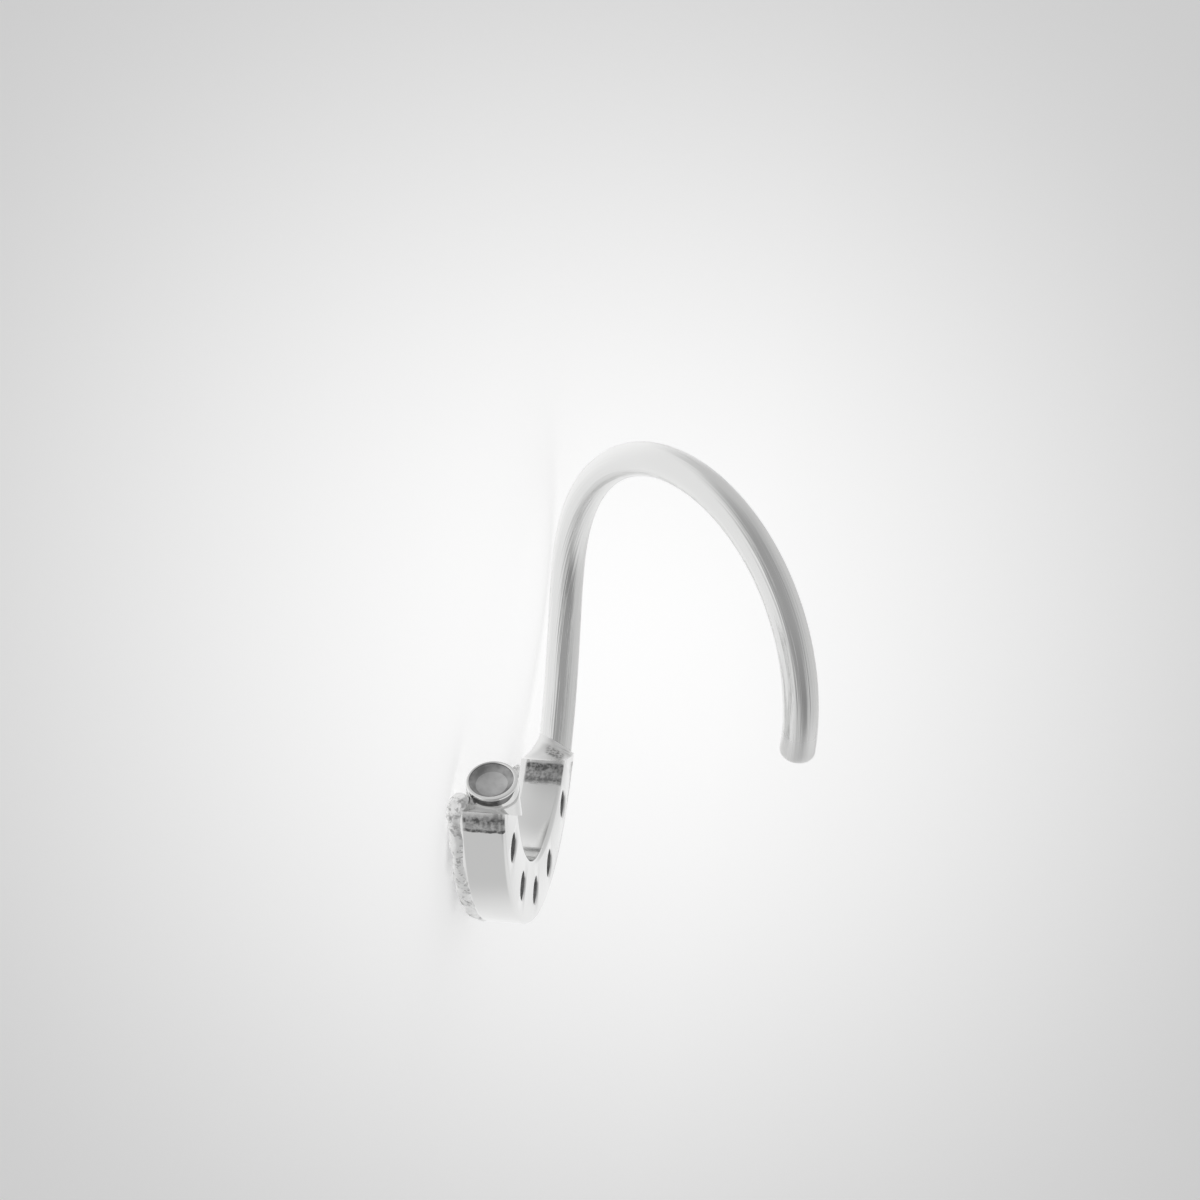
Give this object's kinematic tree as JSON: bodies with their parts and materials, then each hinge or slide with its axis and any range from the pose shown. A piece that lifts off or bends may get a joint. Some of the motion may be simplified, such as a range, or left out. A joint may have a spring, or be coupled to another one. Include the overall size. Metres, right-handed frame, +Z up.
{
  "type": "helix hoop earring",
  "caption": "Small open ear hoop: a stone-set half-ring band, a round wire soldered to one end and bent open, and a socket for the wire's tip.",
  "frame": {"origin": "middle of the hoop's box, on the surface it lies on", "axes": "+Z up from the surface; +X from the band's bottom towards the top of the arch; +Y from the soldered wire towards the socket"},
  "size_m": [0.0114, 0.0094, 0.0071],
  "materials": {
    "white_metal": "high polish, cast grain near the solder",
    "clear_stone": "faceted and polished"
  },
  "bodies": {
    "root": {"soldered_hoop": "white_metal", "stone_1": "clear_stone", "stone_2": "clear_stone", "stone_3": "clear_stone", "stone_4": "clear_stone", "stone_5": "clear_stone"}
  },
  "joints": []
}
